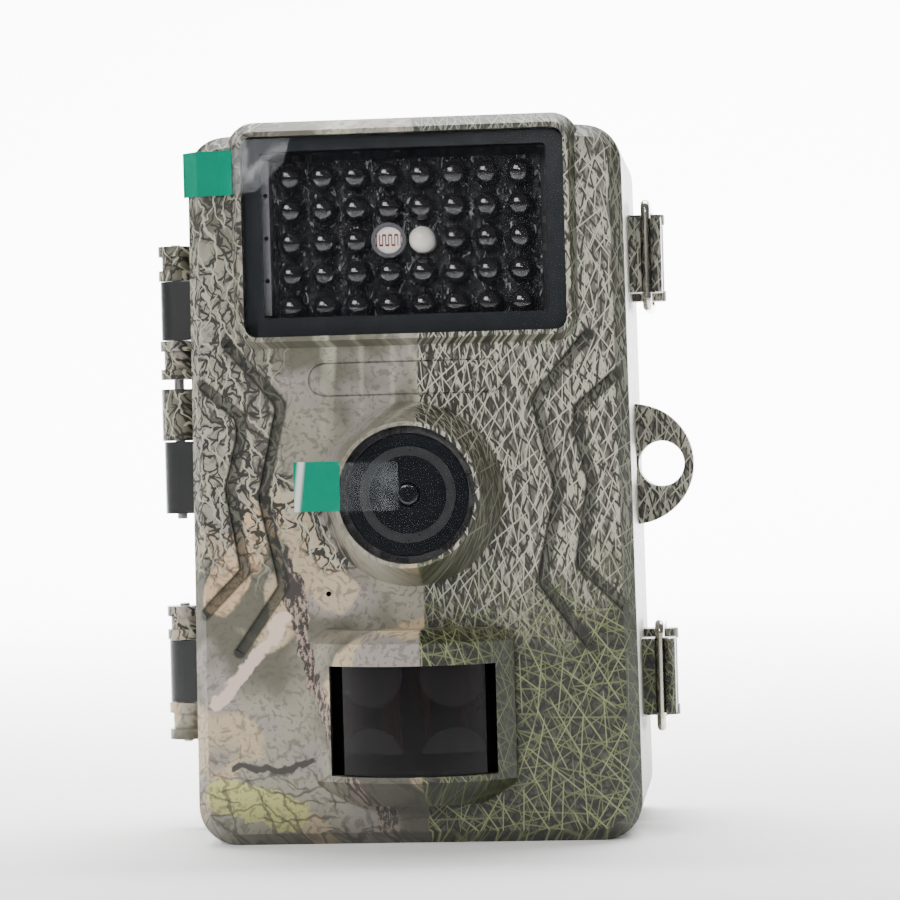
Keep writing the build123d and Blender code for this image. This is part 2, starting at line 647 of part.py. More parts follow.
# ---- back shell -----------------------------------------------------------------------------------
TRAY_SCREWS = ((-34.6, 40.0), (34.6, 40.0), (-34.2, 100.0), (34.2, 100.0))
JACK_X, JACK_Y = 24.0, 0.0
with BuildPart() as back_shell:
    with BuildSketch(facing(BACK_Y)):
        add(case_outline())
    extrude(amount=BACK_Y - PARTING_Y - RIM_GAP)
    chamfer(back_shell.edges().group_by(Axis.Y)[-1], BACK_BEVEL)
    with BuildSketch(facing(BACK_Y - WALL)):
        add(case_outline(WALL))
    extrude(amount=BACK_Y - PARTING_Y, mode=Mode.SUBTRACT)
    # ledge that carries the gasket
    with BuildSketch(facing(PARTING_Y + RIM_GAP + 2)):
        add(case_outline(WALL - 0.3))
        add(case_outline(WALL + 3.6), mode=Mode.SUBTRACT)
    extrude(amount=2)
    # fixed knuckles of the hinge: two flanges and a waist, or a plain block
    for z0, z1 in CASE_KNUCKLES:
        waist = (z1 - z0) < 8
        with BuildSketch(level(z0)):
            with Locations((HINGE_X, PARTING_Y)):
                Circle(BARREL_R)
            with Locations(((HINGE_X - 40.0) / 2, PARTING_Y + 1.95)):
                Rectangle(-HINGE_X - 40.0, 3.1)
            with Locations(((HINGE_X + 3.2 - 38.6) / 2, PARTING_Y - 2.3)):
                Rectangle(-HINGE_X - 38.6, 4.6, mode=Mode.SUBTRACT)
            with Locations((HINGE_X, PARTING_Y)):
                Circle(BARREL_R)
        extrude(amount=z1 - z0)
        if waist:
            with BuildSketch(level(z0 + 2.0)):
                with Locations((HINGE_X, PARTING_Y)):
                    Circle(BARREL_R + 1)
                    Circle(BARREL_R - 0.7, mode=Mode.SUBTRACT)
                with Locations(((HINGE_X + 2.5 - 38.6) / 2, PARTING_Y + 3.1)):
                    Rectangle(-HINGE_X - 38.6 + 2, 6.2, mode=Mode.SUBTRACT)
            extrude(amount=z1 - z0 - 4.0, mode=Mode.SUBTRACT)
        with BuildSketch(level(z0 - 1)):
            with Locations((HINGE_X, PARTING_Y)):
                Circle(PIN_R)
        extrude(amount=z1 - z0 + 2, mode=Mode.SUBTRACT)
    # ears for the latch levers
    for _, latch_z in LATCHES:
        wall_x = half_width(latch_z)
        for side in (-1, 1):
            low_z = latch_z + (EAR_Z0 if side > 0 else -EAR_Z1)
            with BuildSketch(level(low_z)):
                with Locations((wall_x + PIVOT_OUT, PARTING_Y + PIVOT_BACK)):
                    Circle(EAR_R)
                with Locations((wall_x + (PIVOT_OUT - 1) / 2, PARTING_Y + PIVOT_BACK)):
                    Rectangle(PIVOT_OUT + 1, 2 * EAR_R)
                with Locations((wall_x + PIVOT_OUT, PARTING_Y + PIVOT_BACK)):
                    Circle(PIN_R, mode=Mode.SUBTRACT)
            extrude(amount=EAR_Z1 - EAR_Z0)
    # vertical ribs that bite on the tree
    for side in (-1, 1):
        with BuildSketch(Plane.YZ.offset(side * 10 - 1.5)):
            with BuildLine():
                teeth = [(BACK_Y + (4.2 if i % 2 else 2.6), 24 + 4 * i) for i in range(23)]
                Polyline((BACK_Y - 1, 20), (BACK_Y, 20), *teeth, (BACK_Y, 116), (BACK_Y - 1, 116), close=True)
            make_face()
        extrude(amount=3)
    # bosses for the battery tray and the socket insert
    with BuildSketch(facing(BACK_Y - WALL)):
        with Locations(*TRAY_SCREWS):
            Circle(BOSS_R)
    extrude(amount=1.9)
    with BuildSketch(facing(BACK_Y - WALL - 2)):
        with Locations(*TRAY_SCREWS):
            Circle(SCREW_R + 0.05)
    extrude(amount=-3.0, mode=Mode.SUBTRACT)
    with BuildSketch(level(0)):
        Circle(7.0)
        with Locations((JACK_X, JACK_Y)):
            Rectangle(11, 11)
    extrude(amount=10)
    with BuildSketch(level(0)):
        Circle(4.5)
        with Locations((JACK_X, JACK_Y)):
            Circle(4.0)
    extrude(amount=9, mode=Mode.SUBTRACT)
save(back_shell, "back_shell")

with BuildPart() as case_gasket:
    with BuildSketch(facing(PARTING_Y + RIM_GAP)):
        add(case_outline(WALL + 1.5))
        add(case_outline(WALL + 3.3), mode=Mode.SUBTRACT)
    extrude(amount=1.9)
save(case_gasket, "case_gasket")

with BuildPart() as tripod_insert:
    with BuildSketch(level(0)):
        Circle(4.5)
        Circle(2.55, mode=Mode.SUBTRACT)
    extrude(amount=8)
    with BuildSketch(level(8)):
        Circle(4.5)
    extrude(amount=1)
save(tripod_insert, "tripod_insert")

with BuildPart() as dc_jack:
    with BuildSketch(level(0.4)):
        with Locations((JACK_X, JACK_Y)):
            Circle(3.95)
            Circle(2.8, mode=Mode.SUBTRACT)
            Circle(1.0)
    extrude(amount=7.6)
    with BuildSketch(level(8)):
        with Locations((JACK_X, JACK_Y)):
            Circle(3.95)
    extrude(amount=1)
save(dc_jack, "dc_jack")

# ---- batteries -------------------------------------------------------------------------------------
with BuildPart() as battery_tray:
    with BuildSketch(facing(BACK_Y - WALL - 2)):
        with Locations((0, 69.0)):
            Rectangle(62.5, 116.0)
    extrude(amount=9.4)
    with BuildSketch(facing(BACK_Y - WALL - 2)):
        with Locations((0, 70.0)):
            Rectangle(76.0, 70.0)
    extrude(amount=1.8)
    for z0, z1 in BAYS:
        with BuildSketch(level(z0)):
            with Locations(*[(x, CELL_Y) for x in CELL_COLUMNS]):
                Circle(CELL_R + 0.2)
        extrude(amount=z1 - z0, mode=Mode.SUBTRACT)
    with BuildSketch(facing(BACK_Y)):
        with Locations(*TRAY_SCREWS):
            Circle(SCREW_R + 0.1)
    extrude(amount=8, mode=Mode.SUBTRACT)
save(battery_tray, "battery_tray")

with BuildPart() as tray_screws:
    with BuildSketch(facing(BACK_Y - WALL - 3.8)):
        with Locations(*TRAY_SCREWS):
            Circle(SCREW_HEAD_R)
    extrude(amount=1.4)
    with BuildSketch(facing(BACK_Y - WALL - 3.8)):
        with Locations(*TRAY_SCREWS):
            Circle(SCREW_R)
    extrude(amount=-4.5)
save(tray_screws, "tray_screws")

with BuildPart() as aa_cells:
    for row, (z0, z1) in enumerate(BAYS):
        for column, x in enumerate(CELL_COLUMNS):
            up = (row + column) % 2 == 0
            cell_z = z1 - 0.6 - NUB_L - CELL_L if up else z0 + 0.6 + NUB_L
            nub_z = cell_z + CELL_L if up else cell_z - NUB_L
            with BuildSketch(level(cell_z)):
                with Locations((x, CELL_Y)):
                    Circle(CELL_R)
            extrude(amount=CELL_L)
            with BuildSketch(level(nub_z)):
                with Locations((x, CELL_Y)):
                    Circle(NUB_R)
            extrude(amount=NUB_L)
save(aa_cells, "aa_cells")

with BuildPart() as battery_contacts:
    for row, (z0, z1) in enumerate(BAYS):
        for column, x in enumerate(CELL_COLUMNS):
            up = (row + column) % 2 == 0
            with BuildSketch(level(z1 - 0.5 if up else z0 + 0.05)):
                with Locations((x, CELL_Y)):
                    Rectangle(9, 8)
            extrude(amount=0.45)
            start = (x, CELL_Y, z0 + 0.4 if up else z1 - 3.0)
            with BuildLine():
                coil = Helix(pitch=1.0, height=2.6, radius=2.8, center=start)
            with BuildSketch(Plane(origin=coil @ 0, z_dir=coil % 0)):
                Circle(0.3)
            sweep(path=coil)
save(battery_contacts, "battery_contacts")

# ---- latches ---------------------------------------------------------------------------------------
with BuildPart() as latch_pins:
    for _, latch_z in LATCHES:
        with BuildSketch(level(latch_z - EAR_Z1)):
            with Locations((half_width(latch_z) + PIVOT_OUT, PARTING_Y + PIVOT_BACK)):
                Circle(PIN_R)
        extrude(amount=2 * EAR_Z1)
save(latch_pins, "latch_pins")

for label, latch_z in LATCHES:
    wall_x = half_width(latch_z)
    pivot = (wall_x + PIVOT_OUT, PARTING_Y + PIVOT_BACK)
    bail_pivot = (wall_x + BAIL_OUT, PARTING_Y + BAIL_BACK)
    with BuildPart() as lever:
        with BuildSketch(level(latch_z - LEVER_HALF_H)):
            with BuildLine():
                Polyline((wall_x + 1.6, pivot[1]), (wall_x + 1.6, PARTING_Y + LEVER_END - 3),
                         (wall_x + 3.2, PARTING_Y + LEVER_END), (wall_x + 5.6, PARTING_Y + LEVER_END - 0.6),
                         (wall_x + 5.8, PARTING_Y + BAIL_BACK + 4), (wall_x + 6.2, pivot[1]), close=True)
            make_face()
            with Locations(pivot):
                Circle(LEVER_R)
        extrude(amount=2 * LEVER_HALF_H)
        with BuildSketch(level(latch_z - LEVER_HALF_H)):
            with Locations(pivot):
                Circle(PIN_R + PIN_FIT)
        extrude(amount=2 * LEVER_HALF_H, mode=Mode.SUBTRACT)
        for side in (-1, 1):
            with BuildSketch(level(latch_z + side * LEVER_HALF_H)):
                with Locations(bail_pivot):
                    Circle(WIRE_R + PIN_FIT)
            extrude(amount=-side * 1.2, mode=Mode.SUBTRACT)
    save(lever, f"{label}_latch_lever")

    with BuildPart() as bail:
        wire_x = wall_x + WIRE_OUT
        ahead = PARTING_Y - WIRE_AHEAD
        with BuildLine() as loop:
            FilletPolyline((wire_x, bail_pivot[1], latch_z - LEVER_HALF_H + 1.0),
                           (wire_x, bail_pivot[1], latch_z - BAIL_LEG_Z),
                           (wire_x, ahead, latch_z - BAIL_LEG_Z),
                           (wire_x, ahead, latch_z + BAIL_LEG_Z),
                           (wire_x, bail_pivot[1], latch_z + BAIL_LEG_Z),
                           (wire_x, bail_pivot[1], latch_z + LEVER_HALF_H - 1.0), radius=1.6)
        with BuildSketch(Plane(origin=loop.wire() @ 0, z_dir=loop.wire() % 0)):
            Circle(WIRE_R)
        sweep(path=loop.wire())
    save(bail, f"{label}_latch_bail")

# ---- padlock lugs and strap loops ------------------------------------------------------------------
for label, rear_y in (("front", PARTING_Y - 0.2), ("back", PARTING_Y + 0.2 + LUG_T)):
    with BuildPart() as lug:
        with BuildSketch(facing(rear_y)):
            with Locations((LUG_X, LUG_Z)):
                Circle(LUG_R)
            with Locations((EYE_X, LUG_Z)):
                Circle(EYE_R, mode=Mode.SUBTRACT)
            add(case_outline(-0.02), mode=Mode.SUBTRACT)
        extrude(amount=LUG_T)
    save(lug, f"{label}_padlock_lug")

STRAP_Z, STRAP_H, STRAP_GAP, LOOP_T = 68.0, 36.0, 5.0, 3.0
with BuildPart() as strap_loops:
    for side in (-1, 1):
        with BuildSketch(level(STRAP_Z - STRAP_H / 2)):
            with Locations((side * 27, BACK_Y + 0.02 + (STRAP_GAP + LOOP_T) / 2)):
                Rectangle(8, STRAP_GAP + LOOP_T)
        extrude(amount=STRAP_H)
    fillet(strap_loops.edges().group_by(Axis.Y)[-1], 1.2)
    with BuildSketch(Plane.YZ.offset(-40)):
        with Locations((BACK_Y + STRAP_GAP / 2, STRAP_Z)):
            Rectangle(STRAP_GAP + 0.04, STRAP_H - 6)
    extrude(amount=80, mode=Mode.SUBTRACT)
save(strap_loops, "strap_loops")

# ---- protective films with green pull tabs ---------------------------------------------------------
FILM_T = 0.12
with BuildPart() as lens_film:
    with BuildSketch(facing(CONE_FRONT_Y - 0.05)):
        with Locations((-6.5, 67.0)):
            Rectangle(10.8, 9.0)
    extrude(amount=FILM_T)
save(lens_film, "lens_film")

with BuildPart() as lens_film_tab:
    with BuildSketch(facing(CONE_FRONT_Y - 0.05)):
        with Locations((-16.2, 67.2)):
            Rectangle(8.5, 9.2)
    extrude(amount=FILM_T)
save(lens_film_tab, "lens_film_tab")

with BuildPart() as window_film:
    with BuildSketch(facing(FACE_Y - LIP_RISE - 0.05)):
        with BuildLine():
            Polyline((-31.6, 122.0), (-27.4, 122.4), (-22.0, 127.6), (-20.6, 132.2), (-29.4, 132.2),
                     (-31.6, 130.4), close=True)
        make_face()
    extrude(amount=FILM_T)
save(window_film, "window_film")

with BuildPart() as window_film_tab:
    with BuildSketch(level(122.0)):
        with BuildLine():
            Polyline((-31.7, FACE_Y - LIP_RISE - 0.17), (-31.7, FACE_Y - LIP_RISE - 0.05),
                     (-34.6, FACE_Y - 0.3), (-38.6, FACE_Y - 0.15), (-41.6, FACE_Y + 2.6),
                     (-41.7, FACE_Y + 2.5), (-38.6, FACE_Y - 0.3), (-34.6, FACE_Y - 0.45), close=True)
        make_face()
    extrude(amount=8.4)
save(window_film_tab, "window_film_tab")
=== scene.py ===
import bpy
import json
from math import cos, pi, radians, sin
from mathutils import Matrix, Vector


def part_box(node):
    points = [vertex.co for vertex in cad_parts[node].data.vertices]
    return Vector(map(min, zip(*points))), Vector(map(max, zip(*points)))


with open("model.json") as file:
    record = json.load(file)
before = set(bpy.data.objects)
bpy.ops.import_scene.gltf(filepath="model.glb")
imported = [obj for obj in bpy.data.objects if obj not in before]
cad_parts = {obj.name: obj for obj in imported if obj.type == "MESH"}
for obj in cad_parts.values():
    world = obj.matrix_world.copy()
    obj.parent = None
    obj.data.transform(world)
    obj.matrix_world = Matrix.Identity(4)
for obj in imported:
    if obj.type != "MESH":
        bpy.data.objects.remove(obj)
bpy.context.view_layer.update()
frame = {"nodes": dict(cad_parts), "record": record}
MM = 0.001

# ---- stations read from the frame, in millimetres -----------------------------------------------


def node_box(name):
    """Lowest and highest corners of a CAD node, in millimetres."""
    low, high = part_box(name)
    return [c / MM for c in low], [c / MM for c in high]


PANE_PROUD = 1.1          # how far the window pane stands in front of the flat face
FACE_Y = node_box("ir_window_pane")[0][1] + PANE_PROUD
HEIGHT = node_box("front_shell")[1][2]
BACK_Y = node_box("back_shell")[1][1]
CASE_MIDDLE = (0, (FACE_Y + BACK_Y) / 2, HEIGHT / 2)
INNER_LIMIT_X = 41.0      # the inner walls of the case are within this; hinge, lug and latches are beyond
SEAM_X = 2.0              # where the two halves of the printed film meet on the front
WRAP_ALONG, WRAP_DOWN = 0.65, 0.6    # how far the film runs round and down for each millimetre of depth


# ---- short ways to build a node tree -------------------------------------------------------------
class Tree:
    """Adds nodes to one shader tree; a socket given as a value is linked, a number is set."""

    def __init__(self, tree):
        self.tree = tree

    def add(self, kind, inputs=(), **settings):
        node = self.tree.nodes.new(kind)
        for key, value in settings.items():
            setattr(node, key, value)
        for key, value in dict(inputs).items():
            self.put(node.inputs[key], value)
        return node

    def put(self, socket, value):
        if isinstance(value, bpy.types.NodeSocket):
            self.tree.links.new(value, socket)
        elif value is not None:
            socket.default_value = value

    def math(self, operation, a, b=None, c=None, clamp=False):
        node = self.add("ShaderNodeMath", {0: a, 1: b, 2: c}, operation=operation, use_clamp=clamp)
        return node.outputs[0]

    def vector_math(self, operation, a, b):
        return self.add("ShaderNodeVectorMath", {0: a, 1: b}, operation=operation).outputs[0]

    def split(self, vector):
        return self.add("ShaderNodeSeparateXYZ", {0: vector}).outputs

    def hashed(self, value):
        """A number from 0 to 1 that looks unrelated to the value."""
        wave = self.math("SINE", self.math("MULTIPLY", value, 12.9898))
        return self.math("FRACT", self.math("MULTIPLY", wave, 43758.545))

    def join(self, x, y, z=0.0):
        return self.add("ShaderNodeCombineXYZ", {0: x, 1: y, 2: z}).outputs[0]

    def smooth(self, value, low, high):
        """0 at low, 1 at high, with soft ends; low may be the larger."""
        node = self.add("ShaderNodeMapRange", {0: value, 1: low, 2: high}, interpolation_type="SMOOTHSTEP")
        return node.outputs[0]

    def mix(self, factor, a, b):
        """Colour a at factor 0, b at 1."""
        a, b = [c if isinstance(c, bpy.types.NodeSocket) else (*c, 1.0) for c in (a, b)]
        return self.add("ShaderNodeMix", {0: factor, 6: a, 7: b}, data_type="RGBA").outputs[2]

    def noise(self, vector, scale, detail=3.0, rough=0.5, distortion=0.0):
        inputs = {"Vector": vector, "Scale": scale, "Detail": detail}
        inputs |= {"Roughness": rough, "Distortion": distortion}
        return self.add("ShaderNodeTexNoise", inputs).outputs[0]


def object_mm(t):
    """Place on the object in millimetres, the same at rest and in every pose."""
    where = t.add("ShaderNodeTexCoord").outputs["Object"]
    return t.vector_math("MULTIPLY", where, (1 / MM, 1 / MM, 1 / MM))


def material(name):
    """A new material with an empty Principled shader."""
    made = bpy.data.materials.new(name)
    made.use_nodes = True
    shader = made.node_tree.nodes["Principled BSDF"]
    return made, Tree(made.node_tree), shader


def bump(t, shader, height, strength, depth_mm):
    """Fine relief from a height field."""
    node = t.add("ShaderNodeBump", {"Height": height, "Strength": strength, "Distance": depth_mm * MM})
    t.put(shader.inputs["Normal"], node.outputs[0])


# ---- camouflage film ------------------------------------------------------------------------------
def stroke_mask(t, x, y, angle, size, stretch, width, spread):
    """Short strokes near one angle, in degrees: one in each cell of staggered columns, size mm wide."""
    c, s = cos(radians(angle)), sin(radians(angle))
    across = t.math("MULTIPLY_ADD", x, c / size, t.math("MULTIPLY_ADD", y, s / size, angle + 200.0))
    column = t.math("FLOOR", across)
    lx = t.math("SUBTRACT", t.math("SUBTRACT", across, column), 0.5)
    along = t.math("MULTIPLY_ADD", y, c / size / stretch, t.math("MULTIPLY", x, -s / size / stretch))
    along = t.math("ADD", along, t.hashed(column))
    row = t.math("FLOOR", along)
    ly = t.math("SUBTRACT", t.math("SUBTRACT", along, row), 0.5)
    chance = t.hashed(t.math("MULTIPLY_ADD", column, 17.31, t.math("MULTIPLY", row, 5.17)))
    other = t.math("FRACT", t.math("MULTIPLY", chance, 57.3))
    slope = t.math("MULTIPLY_ADD", other, spread, -0.5 * spread)
    shift = t.math("MULTIPLY_ADD", chance, 0.4, t.math("SUBTRACT", lx, 0.2))
    off = t.math("MULTIPLY_ADD", slope, ly, shift)
    side = t.smooth(t.math("ABSOLUTE", off), width, 0.45 * width)
    return t.math("MULTIPLY", side, t.smooth(t.math("ABSOLUTE", ly), 0.49, 0.36))


def bar_mask(t, x, y, start, end, half_width, edge):
    """A soft straight bar from start to end, in millimetres on the film."""
    rx, ry = end[0] - start[0], end[1] - start[1]
    square = rx * rx + ry * ry
    px, py = t.math("SUBTRACT", x, start[0]), t.math("SUBTRACT", y, start[1])
    share = t.math("MULTIPLY_ADD", px, rx / square, t.math("MULTIPLY", py, ry / square), clamp=True)
    gx, gy = t.math("MULTIPLY_ADD", share, -rx, px), t.math("MULTIPLY_ADD", share, -ry, py)
    gap = t.math("SQRT", t.math("MULTIPLY_ADD", gx, gx, t.math("MULTIPLY", gy, gy)))
    return t.smooth(gap, half_width + edge, half_width)


def film_place(t):
    """Place on the printed film in millimetres, wrapped round the case from the front face."""
    x, y, z = t.split(object_mm(t))
    depth = t.math("SUBTRACT", y, FACE_Y)
    side = t.math("SIGN", t.math("SUBTRACT", x, SEAM_X))
    u = t.math("ADD", x, t.math("MULTIPLY", side, t.math("MULTIPLY", depth, WRAP_ALONG)))
    v = t.math("ADD", z, t.math("MULTIPLY", depth, WRAP_DOWN))
    return u, v, x, y, z


def stroke_layer(t, place, colour, paint, angles, size, stretch, width, spread, where=None):
    """Lays strokes of one colour over another, at each of the given angles in degrees."""
    for number, angle in enumerate(angles):
        mask = stroke_mask(t, *place, angle, size * (1 + 0.13 * number), stretch, width, spread)
        if where is not None:
            mask = t.math("MULTIPLY", mask, where)
        colour = t.mix(mask, colour, paint)
    return colour


def branch(t, place, colour, paint, points, half_width, edge=0.4, strength=1.0):
    """A limb drawn through the given points of the film."""
    mask = None
    for start, end in zip(points, points[1:]):
        bar = bar_mask(t, *place, start, end, half_width, edge)
        mask = bar if mask is None else t.math("MAXIMUM", mask, bar)
    return t.mix(t.math("MULTIPLY", mask, strength), colour, paint)


# limbs and leaves on the left half of the front, in millimetres from the middle of the base
LONG_TWIG = ((-31, 68), (-27, 66), (-25, 57), (-22.4, 47.5))
TRUNK = ((-23.5, 52), (-22, 45), (-19.4, 33), (-15, 24), (-8, 12), (-3.6, -2))
CROSS_TWIG = ((-39, 86), (-37, 81), (-32.5, 76), (-27.4, 68.4))
UPRIGHT_TWIG = ((-30.4, 93), (-29, 80), (-27.2, 68))
PALE_BRANCH = ((-37, 27), (-30.5, 34), (-24, 43))
LOW_TWIG = ((-34, 15), (-27, 14.2), (-19, 16.6))
YELLOW_LEAF = ((-36.5, 9.5), (-31, 7.5), (-24, 6.2))
ORANGE_LEAF = ((-36, 47), (-31.5, 55), (-29.5, 60))
BEIGE_LEAF = ((-26, 63), (-21, 55), (-15, 48))


# the moulded grooves of the right half, mirrored on the left, along which shade is painted: x and z in
# millimetres
OUTER_GROOVE = ((39.0, 86.6), (31.8, 80.6), (31.6, 76.6), (34.0, 67.0), (31.4, 51.6), (39.4, 43.6))
INNER_GROOVE = ((33.9, 94.2), (23.9, 82.6), (27.8, 65.4), (24.2, 48.6), (32.9, 36.4))


def left_film(t, u, v):
    """Blurred leaves and boughs in grey and tan, with dark twigs and a bark trunk."""
    flat = t.join(u, v)
    waver = t.add("ShaderNodeTexNoise", {"Vector": flat, "Scale": 0.22, "Detail": 3.0}).outputs["Color"]
    push_x, push_y, _ = t.add("ShaderNodeSeparateColor", {0: waver}).outputs
    wu = t.math("ADD", u, t.math("MULTIPLY_ADD", push_x, 5.0, -2.5))
    wv = t.math("ADD", v, t.math("MULTIPLY_ADD", push_y, 5.0, -2.5))
    place, warped = (wu, wv), t.join(wu, wv)
    patches = t.smooth(t.noise(warped, 0.035, 2.0), 0.42, 0.58)
    colour = t.mix(patches, (0.095, 0.088, 0.064), (0.27, 0.25, 0.195))
    lilac = t.noise(t.join(t.math("ADD", u, 40), v), 0.05, 2.0)
    colour = t.mix(t.smooth(lilac, 0.50, 0.60), colour, (0.25, 0.22, 0.20))
    beige = t.smooth(t.noise(t.join(u, t.math("ADD", v, 90)), 0.06, 1.5), 0.55, 0.59)
    colour = t.mix(t.math("MULTIPLY", beige, t.smooth(v, 75, 40)), colour, (0.42, 0.33, 0.21))
    bands = t.noise(t.join(u, t.math("MULTIPLY", v, 0.06)), 0.22, 1.0)
    beside_lens = t.math("MULTIPLY", t.smooth(u, -20, -12), t.smooth(v, 70, 80))
    bands = t.math("MULTIPLY", t.smooth(bands, 0.50, 0.60), beside_lens)
    colour = t.mix(bands, colour, (0.36, 0.35, 0.265))
    colour = branch(t, place, colour, (0.46, 0.36, 0.23), BEIGE_LEAF, 4.2, 0.8, 0.75)
    colour = branch(t, place, colour, (0.52, 0.36, 0.21), ORANGE_LEAF, 3.4, 0.7, 0.9)
    colour = branch(t, place, colour, (0.46, 0.47, 0.15), YELLOW_LEAF, 3.2, 0.5, 0.95)
    veins = t.smooth(t.noise(warped, 0.9, 3.0), 0.5, 0.62)
    colour = t.mix(t.math("MULTIPLY", veins, 0.55), colour, (0.07, 0.066, 0.05))
    speckle = t.noise(t.join(t.math("MULTIPLY", u, 2.2), v), 0.55, 4.0, 0.7)
    bark = t.mix(t.smooth(speckle, 0.47, 0.56), (0.03, 0.025, 0.022), (0.30, 0.225, 0.18))
    colour = branch(t, place, colour, bark, TRUNK, 1.5, 0.3)
    colour = branch(t, place, colour, (0.035, 0.028, 0.027), LONG_TWIG, 0.55)
    colour = branch(t, place, colour, (0.07, 0.062, 0.058), CROSS_TWIG, 0.4)
    colour = branch(t, place, colour, (0.10, 0.085, 0.075), UPRIGHT_TWIG, 0.4)
    colour = branch(t, place, colour, (0.62, 0.47, 0.40), PALE_BRANCH, 1.0, 0.4, 0.9)
    colour = branch(t, place, colour, (0.04, 0.035, 0.03), LOW_TWIG, 0.5)
    # tangled twigs over the outer and upper part, and beside the lens
    outer = t.math("MULTIPLY", t.smooth(u, -20, -29), t.smooth(v, 44, 60))
    tangle = t.math("MAXIMUM", outer, bar_mask(t, *place, (-24, 66), (-14, 55), 3.0, 3.0))
    angles = (8, -22, 38, -52, 75)
    colour = stroke_layer(t, place, colour, (0.020, 0.018, 0.015), angles, 2.4, 4.0, 0.10, 2.0, tangle)
    colour = stroke_layer(t, place, colour, (0.34, 0.34, 0.26), (-12, 30), 3.1, 3.4, 0.07, 2.0, tangle)
    low = t.math("MULTIPLY", t.smooth(v, 24, 8), 0.7)
    colour = stroke_layer(t, place, colour, (0.045, 0.040, 0.034), (66, -70, 20), 4.4, 3.4, 0.07, 2.4, low)
    return t.mix(t.math("MULTIPLY", t.smooth(v, 16, -2), 0.7), colour, (0.03, 0.028, 0.022))


def right_film(t, u, v):
    """Pale bark with upright flakes above, dark litter with green needles below."""
    place, flat = (u, v), t.join(u, v)
    flakes = t.noise(t.join(u, t.math("MULTIPLY", v, 0.42)), 0.45, 3.0, 0.6, 0.6)
    colour = t.mix(t.smooth(flakes, 0.47, 0.54), (0.105, 0.090, 0.080), (0.36, 0.35, 0.28))
    fine = t.noise(t.join(t.math("MULTIPLY", u, 2.2), t.math("MULTIPLY", v, 0.5)), 0.7, 3.0, 0.65)
    colour = t.mix(t.smooth(fine, 0.55, 0.63), colour, (0.05, 0.047, 0.036))
    inner = t.smooth(u, 32, 6)
    colour = stroke_layer(t, place, colour, (0.012, 0.013, 0.009), (4, -7, 13), 1.7, 7.0, 0.17, 0.9, inner)
    colour = stroke_layer(t, place, colour, (0.022, 0.022, 0.015), (12, -18, 40), 1.8, 4.2, 0.13, 2.0)
    colour = stroke_layer(t, place, colour, (0.42, 0.42, 0.32), (-9, 24, -38), 2.0, 4.0, 0.065, 2.2)
    # dark litter and needles below a ragged line that rises towards the middle
    ragged = t.math("MULTIPLY_ADD", t.noise(flat, 0.12, 3.0), 26.0, v)
    drop = t.math("MULTIPLY_ADD", t.math("ABSOLUTE", t.math("SUBTRACT", u, 12)), -0.25, ragged)
    litter = t.noise(flat, 0.5, 4.0, 0.65)
    ground = t.mix(t.smooth(litter, 0.44, 0.6), (0.018, 0.017, 0.013), (0.050, 0.045, 0.036))
    ground = stroke_layer(t, place, ground, (0.008, 0.008, 0.006), (33, -41, 80), 1.9, 3.4, 0.14, 2.4)
    angles = (15, -28, 52, -64, 84)
    ground = stroke_layer(t, place, ground, (0.10, 0.118, 0.048), angles, 2.3, 4.4, 0.055, 2.6)
    ground = stroke_layer(t, place, ground, (0.19, 0.21, 0.095), (-15, 41), 3.3, 4.0, 0.045, 2.6)
    colour = t.mix(t.smooth(drop, 66, 44), colour, ground)
    rim = t.math("MULTIPLY", t.smooth(v, HEIGHT - 12, HEIGHT + 2), 0.7)
    return t.mix(rim, colour, (0.02, 0.026, 0.015))


def groove_shade_mask(t, x, y, z):
    """The moulded grooves of the front face, where shade is painted into the film as a darker colour."""
    half = t.math("ABSOLUTE", x)
    legs = [leg for groove in (OUTER_GROOVE, INNER_GROOVE) for leg in zip(groove, groove[1:])]
    bars = [bar_mask(t, half, z, start, end, 0.85, 0.6) for start, end in legs]
    mask = bars[0]
    for bar in bars[1:]:
        mask = t.math("MAXIMUM", mask, bar)
    front = t.smooth(y, FACE_Y + 1.5, FACE_Y + 0.5)
    return t.math("MULTIPLY", mask, t.math("MULTIPLY", front, 0.93))


def slope_shade_mask(t, normal, y):
    """Painted shade on slopes that face right or down, away from the light, most of all close to the front
    face.
    """
    nx, _, nz = t.split(normal)
    lean = t.math("MULTIPLY_ADD", nz, -0.7, nx)
    near_front = t.smooth(y, FACE_Y + 8, FACE_Y + 2)
    return t.math("MULTIPLY", t.smooth(lean, 0.15, 0.75), t.math("MULTIPLY_ADD", near_front, 0.45, 0.35))


def inner_mask(t, normal, x, y):
    """Walls that face the middle of the case: these are bare plastic."""
    from_middle = t.vector_math("SUBTRACT", object_mm(t), CASE_MIDDLE)
    product = t.add("ShaderNodeVectorMath", {0: normal, 1: from_middle}, operation="DOT_PRODUCT")
    behind_face = t.smooth(y, FACE_Y + 0.5, FACE_Y + 1.5)
    within = t.math("MULTIPLY", behind_face, t.smooth(y, BACK_Y - 0.3, BACK_Y - 1.0))
    within = t.math("MULTIPLY", within, t.smooth(t.math("ABSOLUTE", x), INNER_LIMIT_X, INNER_LIMIT_X - 0.6))
    return t.math("MULTIPLY", t.smooth(product.outputs["Value"], -10, -16), within)


